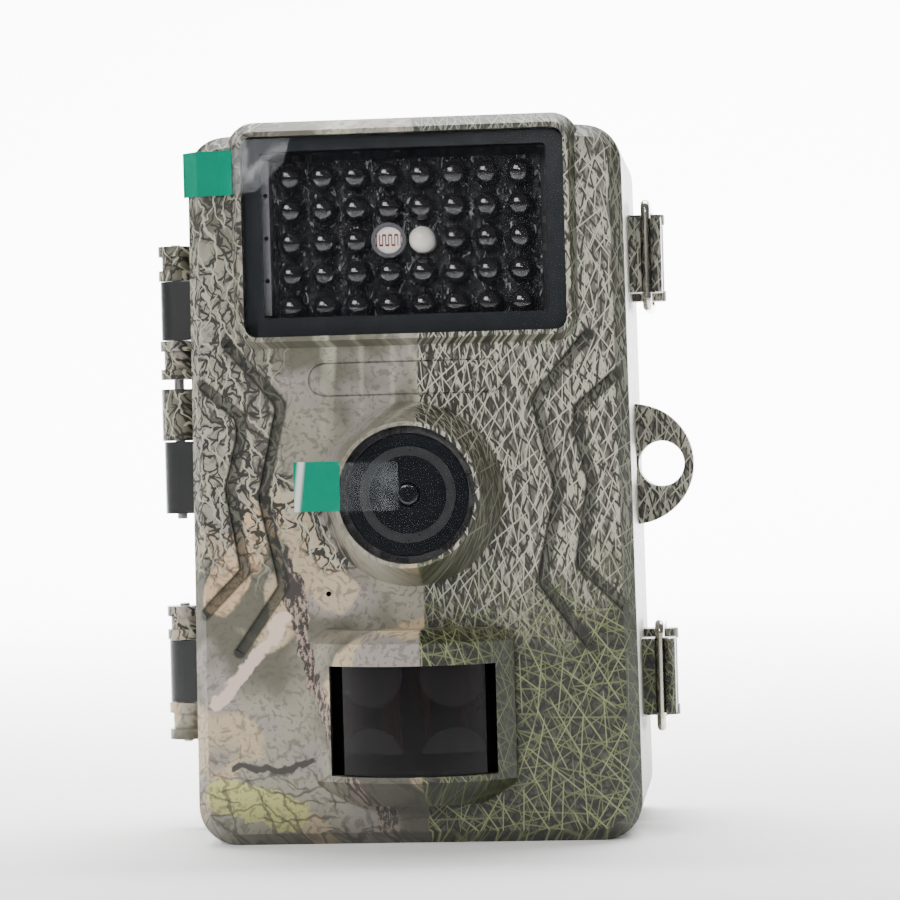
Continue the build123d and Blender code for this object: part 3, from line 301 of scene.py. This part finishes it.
def camo_film():
    """The printed film of both halves of the case, with painted shade in its grooves and on its slopes, and
    bare inner walls.
    """
    made, t, shader = material("camo_film")
    u, v, x, y, z = film_place(t)
    ragged = t.math("ADD", x, t.math("MULTIPLY", t.noise(t.join(u, v), 0.25), 1.2))
    seam = t.smooth(ragged, SEAM_X + 0.35, SEAM_X + 0.85)
    colour = t.mix(seam, left_film(t, u, v), right_film(t, u, v))
    # painted shade: the film is darkened along the moulded grooves
    colour = t.mix(groove_shade_mask(t, x, y, z), colour, (0.010, 0.011, 0.007))
    normal = t.add("ShaderNodeTexCoord").outputs["Normal"]
    # painted shade: slopes facing right or down are darkened in the film's colour
    slope = slope_shade_mask(t, normal, y)
    colour = t.mix(slope, colour, t.mix(slope, colour, (0.020, 0.024, 0.012)))
    colour = t.mix(inner_mask(t, normal, x, y), colour, (0.016, 0.017, 0.016))
    t.put(shader.inputs["Base Color"], colour)
    peel = t.noise(object_mm(t), 1.6, 2.0)
    t.put(shader.inputs["Roughness"], t.math("ADD", t.math("MULTIPLY", peel, 0.12), 0.34))
    shader.inputs["Specular IOR Level"].default_value = 0.4
    shader.inputs["Coat Weight"].default_value = 0.12
    shader.inputs["Coat Roughness"].default_value = 0.25
    bump(t, shader, peel, 0.25, 0.05)
    return made


# ---- plain plastics, rubbers and metals -------------------------------------------------------------
def moulded(name, colour, roughness, grain, depth_mm, specular=0.5):
    """Moulded plastic or rubber: a fine grain, a little variation in colour and gloss."""
    made, t, shader = material(name)
    where = object_mm(t)
    cloud = t.noise(where, 0.15, 3.0)
    fine = t.noise(where, grain, 3.0, 0.6)
    darker = tuple(c * 0.8 for c in colour)
    t.put(shader.inputs["Base Color"], t.mix(cloud, darker, colour))
    t.put(shader.inputs["Roughness"], t.math("ADD", t.math("MULTIPLY", fine, 0.16), roughness - 0.08))
    shader.inputs["Specular IOR Level"].default_value = specular
    bump(t, shader, fine, 0.35, depth_mm)
    return made


def metal(name, colour, roughness, stretch):
    """Metal with fine drawn or turned marks across the given direction."""
    made, t, shader = material(name)
    where = t.vector_math("MULTIPLY", object_mm(t), stretch)
    marks = t.noise(where, 1.5, 4.0, 0.6)
    darker = tuple(c * 0.78 for c in colour)
    t.put(shader.inputs["Base Color"], t.mix(marks, darker, colour))
    t.put(shader.inputs["Roughness"], t.math("ADD", t.math("MULTIPLY", marks, 0.14), roughness))
    shader.inputs["Metallic"].default_value = 1.0
    bump(t, shader, marks, 0.15, 0.02)
    return made


def clear(name, colour, alpha, roughness, smear=0.0):
    """A clear sheet that lets what is behind it show, with faint smears."""
    made, t, shader = material(name)
    cloud = t.noise(object_mm(t), 0.12, 4.0, 0.6, 0.8)
    smears = t.math("MULTIPLY", t.smooth(cloud, 0.45, 0.7), smear)
    t.put(shader.inputs["Alpha"], t.math("ADD", smears, alpha))
    t.put(shader.inputs["Roughness"], t.math("ADD", t.math("MULTIPLY", cloud, 0.06), roughness))
    shader.inputs["Base Color"].default_value = (*colour, 1)
    shader.inputs["Specular IOR Level"].default_value = 1.0
    return made


def circuit_board(name, mask_colour):
    """Solder mask with faint tracks and tinned pads."""
    made, t, shader = material(name)
    x, _, z = t.split(object_mm(t))
    lines = t.noise(t.join(t.math("SNAP", x, 0.8), t.math("SNAP", z, 3.0)), 0.8, 1.0)
    grid = t.join(t.math("SNAP", x, 1.3), t.math("SNAP", z, 1.3))
    cells = t.add("ShaderNodeTexVoronoi", {"Vector": grid, "Scale": 0.5}, voronoi_dimensions="2D")
    pads = cells.outputs["Distance"]
    lighter = tuple(c * 1.8 for c in mask_colour)
    colour = t.mix(t.smooth(lines, 0.5, 0.55), mask_colour, lighter)
    colour = t.mix(t.smooth(pads, 0.16, 0.12), colour, (0.10, 0.10, 0.095))
    t.put(shader.inputs["Base Color"], colour)
    shader.inputs["Roughness"].default_value = 0.35
    bump(t, shader, lines, 0.3, 0.05)
    return made


def bowed_window():
    """Smoked sensor window: glossy, with black sides and the faint lobes of the lens array behind."""
    made, t, shader = material("smoked_window")
    low, high = node_box("pir_window")
    x, _, z = t.split(object_mm(t))
    middle_z = (low[2] + high[2]) / 2
    side = t.math("ABSOLUTE", x)
    lobes = None
    for lobe_x in (-7.6, 7.9):
        for lobe_z in (middle_z + 8.6, middle_z - 7.4):
            ends = {0: t.join(x, z), 1: (lobe_x, lobe_z, 0)}
            gap = t.add("ShaderNodeVectorMath", ends, operation="DISTANCE")
            spot = t.smooth(gap.outputs["Value"], 6.3, 5.9)
            lobes = spot if lobes is None else t.math("MAXIMUM", lobes, spot)
    tint = t.noise(t.join(x, t.math("MULTIPLY", z, 0.08)), 0.35, 2.0)
    plum = t.mix(t.smooth(tint, 0.45, 0.6), (0.002, 0.002, 0.0025), (0.006, 0.0035, 0.003))
    inside = t.math("MULTIPLY", t.smooth(side, 13.4, 13.2), t.smooth(z, low[2] + 4.0, low[2] + 4.3))
    shade = t.mix(t.math("MULTIPLY", lobes, 0.75), plum, (0.011, 0.010, 0.011))
    shade = t.mix(inside, (0.001, 0.001, 0.001), shade)
    border = t.smooth(side, high[0] - 2.6, high[0] - 2.2)
    t.put(shader.inputs["Base Color"], t.mix(border, shade, (0.001, 0.001, 0.001)))
    ripple = t.noise(t.join(x, t.math("MULTIPLY", z, 0.25)), 0.3, 2.0)
    shader.inputs["Roughness"].default_value = 0.07
    shader.inputs["Specular IOR Level"].default_value = 0.14
    bump(t, shader, ripple, 0.25, 0.12)
    return made


WINDING_PITCH = 1.15


def photocell_face():
    """Pale disc with a red-brown winding across it."""
    made, t, shader = material("photocell_face")
    low, high = node_box("photocell")
    x, _, z = t.split(object_mm(t))
    cx, cz = (low[0] + high[0]) / 2, (low[2] + high[2]) / 2
    dx, dz = t.math("SUBTRACT", x, cx), t.math("SUBTRACT", z, cz)
    turns = t.math("SINE", t.math("MULTIPLY", dx, 2 * pi / WINDING_PITCH))
    wave = t.math("MULTIPLY", t.math("SIGN", turns), 0.95)
    rung = t.smooth(t.math("ABSOLUTE", turns), 0.62, 0.42)
    upright = t.math("MULTIPLY", rung, t.smooth(t.math("ABSOLUTE", dz), 1.12, 1.0))
    turn = t.smooth(t.math("ABSOLUTE", t.math("SUBTRACT", dz, wave)), 0.24, 0.16)
    ends = t.math("MULTIPLY", turn, t.smooth(t.math("ABSOLUTE", dx), 1.75, 1.65))
    line = t.math("MAXIMUM", upright, ends)
    cloud = t.noise(object_mm(t), 2.0)
    disc = t.mix(cloud, (0.62, 0.52, 0.46), (0.85, 0.80, 0.76))
    t.put(shader.inputs["Base Color"], t.mix(line, disc, (0.14, 0.022, 0.016)))
    shader.inputs["Roughness"].default_value = 0.25
    return made


def film(name, colour, alpha, fold_x):
    """Plastic film with a fold running down it: the fold is a bump, with a soft pale painted highlight
    along it.
    """
    made, t, shader = material(name)
    x, _, z = t.split(object_mm(t))
    lean = t.math("SUBTRACT", x, t.math("MULTIPLY", z, 0.12))
    crease_and_highlight = t.smooth(t.math("ABSOLUTE", t.math("SUBTRACT", lean, fold_x)), 1.0, 0.2)
    pale = tuple(c * 0.3 + 0.55 for c in colour)
    cloud = t.noise(object_mm(t), 0.5, 3.0)
    base = t.mix(cloud, tuple(c * 0.85 for c in colour), colour)
    # painted highlight: a pale line along the fold
    t.put(shader.inputs["Base Color"], t.mix(crease_and_highlight, base, pale))
    t.put(shader.inputs["Roughness"], t.math("ADD", t.math("MULTIPLY", cloud, 0.1), 0.12))
    shader.inputs["Alpha"].default_value = alpha
    bump(t, shader, crease_and_highlight, 0.6, 0.3)
    return made


def lamp_filler():
    """Dark potting between the lamps: glossy, with drawn strings in bump relief that are painted pale as
    painted highlights.
    """
    made, t, shader = material("lamp_filler")
    x, _, z = t.split(object_mm(t))
    strings = t.noise(t.join(x, t.math("MULTIPLY", z, 0.45)), 0.8, 3.0, 0.6, 1.4)
    string_highlight = t.smooth(strings, 0.60, 0.66)
    # painted highlight: the drawn strings are painted pale
    t.put(shader.inputs["Base Color"], t.mix(string_highlight, (0.012, 0.012, 0.014), (0.35, 0.36, 0.38)))
    shader.inputs["Roughness"].default_value = 0.12
    bump(t, shader, strings, 0.9, 0.9)
    return made


def cell_sleeve():
    """Blank battery sleeve: dark body with a copper-coloured end band."""
    made, t, shader = material("cell_sleeve")
    _, _, z = t.split(object_mm(t))
    row = t.math("MODULO", t.math("SUBTRACT", z, 12.5), 57.5)
    band = t.smooth(row, 40.0, 40.3)
    cloud = t.noise(object_mm(t), 0.4)
    base = t.mix(cloud, (0.018, 0.018, 0.02), (0.028, 0.028, 0.03))
    t.put(shader.inputs["Base Color"], t.mix(band, base, (0.45, 0.20, 0.07)))
    shader.inputs["Roughness"].default_value = 0.22
    bump(t, shader, cloud, 0.1, 0.05)
    return made


MATERIALS = {
    "camo_shell": camo_film(),
    "black_plastic": moulded("black_plastic", (0.010, 0.011, 0.011), 0.36, 3.0, 0.06),
    "black_gloss": moulded("black_gloss", (0.005, 0.006, 0.008), 0.12, 0.3, 0.001),
    "clear_pane": clear("clear_pane", (0.04, 0.045, 0.05), 0.04, 0.03, 0.03),
    "smoked_window": bowed_window(),
    "lens_glass": moulded("lens_glass", (0.003, 0.004, 0.006), 0.06, 0.1, 0.0005, 0.8),
    "lcd_glass": moulded("lcd_glass", (0.012, 0.014, 0.017), 0.14, 0.5, 0.005),
    "dark_led": moulded("dark_led", (0.010, 0.009, 0.011), 0.06, 0.4, 0.004, 0.8),
    "clear_led": moulded("clear_led", (0.80, 0.78, 0.72), 0.10, 1.2, 0.12, 0.8),
    "photocell_white": photocell_face(),
    "collar_grey": moulded("collar_grey", (0.10, 0.10, 0.11), 0.25, 1.0, 0.02),
    "grey_plastic": moulded("grey_plastic", (0.17, 0.17, 0.18), 0.35, 2.0, 0.02),
    "switch_grey": moulded("switch_grey", (0.07, 0.07, 0.075), 0.4, 2.5, 0.04),
    "button_rubber": moulded("button_rubber", (0.05, 0.05, 0.052), 0.6, 4.0, 0.06),
    "gasket_rubber": moulded("gasket_rubber", (0.02, 0.02, 0.021), 0.6, 3.0, 0.05),
    "board_green": circuit_board("board_green", (0.012, 0.085, 0.035)),
    "board_black": circuit_board("board_black", (0.010, 0.011, 0.013)),
    "battery_wrap": cell_sleeve(),
    "pin_steel": metal("pin_steel", (0.45, 0.45, 0.46), 0.28, (1, 1, 0.1)),
    "spring_steel": metal("spring_steel", (0.7, 0.7, 0.7), 0.18, (1, 1, 1)),
    "connector_steel": metal("connector_steel", (0.6, 0.6, 0.6), 0.3, (1, 1, 0.2)),
    "bail_wire": metal("bail_wire", (0.80, 0.76, 0.70), 0.12, (1, 1, 0.15)),
    "brass_insert": metal("brass_insert", (0.72, 0.53, 0.24), 0.25, (1, 1, 1)),
    "green_film": film("green_film", (0.004, 0.21, 0.125), 1.0, -27.6),
    "clear_film": clear("clear_film", (0.75, 0.78, 0.8), 0.04, 0.08, 0.16),
}

# parts that look unlike the rest of their slot
PART_MATERIALS = {
    "led_holder": lamp_filler(),
    "ir_window_border": moulded("border_ink", (0.017, 0.019, 0.022), 0.2, 0.3, 0.001),
    "lens_ring": moulded("lens_ring", (0.016, 0.018, 0.018), 0.3, 1.5, 0.005),
    "lens_film": clear("lens_film", (0.45, 0.48, 0.5), 0.03, 0.08, 0.05),
}
SLOT_OF = {part["node"]: part["material_slot"] for part in frame["record"]["subparts"]}
for node_name, node_object in frame["nodes"].items():
    node_object.data.materials.clear()
    finish = PART_MATERIALS.get(node_name) or MATERIALS[SLOT_OF[node_name]]
    node_object.data.materials.append(finish)

# ---- floor, light and camera --------------------------------------------------------------------------


def backdrop():
    """Floor that sweeps up behind the object in one curve: pale, and darker well in front of it."""
    bend, reach, wall = 0.5, 0.9, 1.6
    profile = [(-2.2, 0.0), (reach, 0.0)]
    turns = [step * pi / 32 for step in range(1, 17)]
    profile += [(reach + bend * sin(turn), bend - bend * cos(turn)) for turn in turns]
    profile.append((reach + bend, wall))
    verts = [(side * 3.0, y, z) for y, z in profile for side in (-1, 1)]
    faces = [(2 * i, 2 * i + 1, 2 * i + 3, 2 * i + 2) for i in range(len(profile) - 1)]
    mesh = bpy.data.meshes.new("backdrop")
    mesh.from_pydata(verts, [], faces)
    made = bpy.data.objects.new("backdrop", mesh)
    bpy.context.scene.collection.objects.link(made)
    for polygon in mesh.polygons:
        polygon.use_smooth = True
    paper, t, shader = material("backdrop_paper")
    _, y, _ = t.split(object_mm(t))
    behind = t.smooth(y, -550, -150)
    t.put(shader.inputs["Base Color"], t.mix(behind, (0.28, 0.28, 0.28), (0.95, 0.95, 0.95)))
    shader.inputs["Roughness"].default_value = 0.9
    mesh.materials.append(paper)


def area_light(name, place, aim, width, height, power, roll=0.0, tint=(1, 1, 1), spread=pi):
    """A soft rectangular light at place, turned towards aim."""
    data = bpy.data.lights.new(name, "AREA")
    data.shape = "RECTANGLE"
    data.size, data.size_y = width, height
    data.energy = power
    data.color = tint
    data.spread = spread
    made = bpy.data.objects.new(name, data)
    bpy.context.scene.collection.objects.link(made)
    turn = (Vector(aim) - Vector(place)).to_track_quat("-Z", "Y").to_matrix().to_4x4()
    made.matrix_world = Matrix.Translation(place) @ turn @ Matrix.Rotation(roll, 4, "Z")
    return made


backdrop()
CENTRE = (0, FACE_Y * MM, 0.07)
area_light("key", (-0.55, -0.9, 0.75), CENTRE, 0.7, 0.6, 12.5, tint=(1, 0.985, 0.96))
area_light("front", (-0.22, -1.15, 0.60), CENTRE, 0.5, 0.35, 2)
area_light("glint", (0.06, -0.70, 0.30), CENTRE, 0.02, 0.10, 0.6, roll=radians(-38))
area_light("wall", (0, 0.5, 1.6), (0, 1.3, 0.2), 2.4, 0.6, 190, spread=radians(115))

world = bpy.data.worlds.new("studio")
bpy.context.scene.world = world
world.use_nodes = True
world.node_tree.nodes["Background"].inputs[0].default_value = (0.80, 0.86, 0.92, 1)
world.node_tree.nodes["Background"].inputs[1].default_value = 0.16

# the camera stands a little to the right at mid height, rolled so that the top leans left
AZIMUTH, DISTANCE, CAMERA_Z, ROLL = radians(5.5), 0.60, 0.074, radians(1.5)
LENS_MM, SENSOR_MM = 128.9, 36.0
AIM_X, AIM_Z = 0.0077, 0.0733
AIM = (AIM_X * cos(AZIMUTH), FACE_Y * MM, AIM_Z)
camera_data = bpy.data.cameras.new("camera")
camera_data.lens = LENS_MM
camera_data.sensor_width = SENSOR_MM
camera_data.clip_start = 0.01
camera = bpy.data.objects.new("camera", camera_data)
bpy.context.scene.collection.objects.link(camera)
eye = Vector((AIM[0] + DISTANCE * sin(AZIMUTH), AIM[1] - DISTANCE * cos(AZIMUTH), CAMERA_Z))
look = (Vector(AIM) - eye).to_track_quat("-Z", "Y").to_matrix().to_4x4()
camera.matrix_world = Matrix.Translation(eye) @ look @ Matrix.Rotation(-ROLL, 4, "Z")
bpy.context.scene.camera = camera
